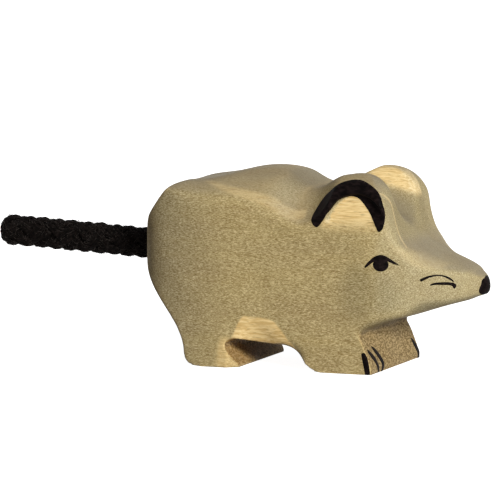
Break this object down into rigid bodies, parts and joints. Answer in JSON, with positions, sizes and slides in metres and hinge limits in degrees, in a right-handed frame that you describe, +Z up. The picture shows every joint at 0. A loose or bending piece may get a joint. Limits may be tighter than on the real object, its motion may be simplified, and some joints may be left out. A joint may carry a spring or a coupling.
{
  "type": "mouse figurine",
  "caption": "Small sawn and sanded wooden mouse with carved ears, a tapered snout, block legs either side of a low belly arch, painted face marks and a braided cord tail.",
  "frame": {"origin": "middle of the wooden body's footprint box, on the surface it stands on; the tail is not counted", "axes": "+X towards the nose, +Y to the mouse's left, +Z up"},
  "size_m": [0.0875, 0.024, 0.033],
  "materials": {
    "glazed_wood": "pale close-grained hardwood under a thin matt grey-brown glaze, sanded lighter in places",
    "black_paint": "thin matt black paint on the wood",
    "black_cord": "braided black yarn, slightly fuzzy",
    "wood_glue": "hardened wood glue"
  },
  "bodies": {
    "root": {"wooden_body": "glazed_wood", "tail_sheath": "black_cord", "tail_core": "black_cord", "tail_glue": "wood_glue"}
  },
  "joints": []
}
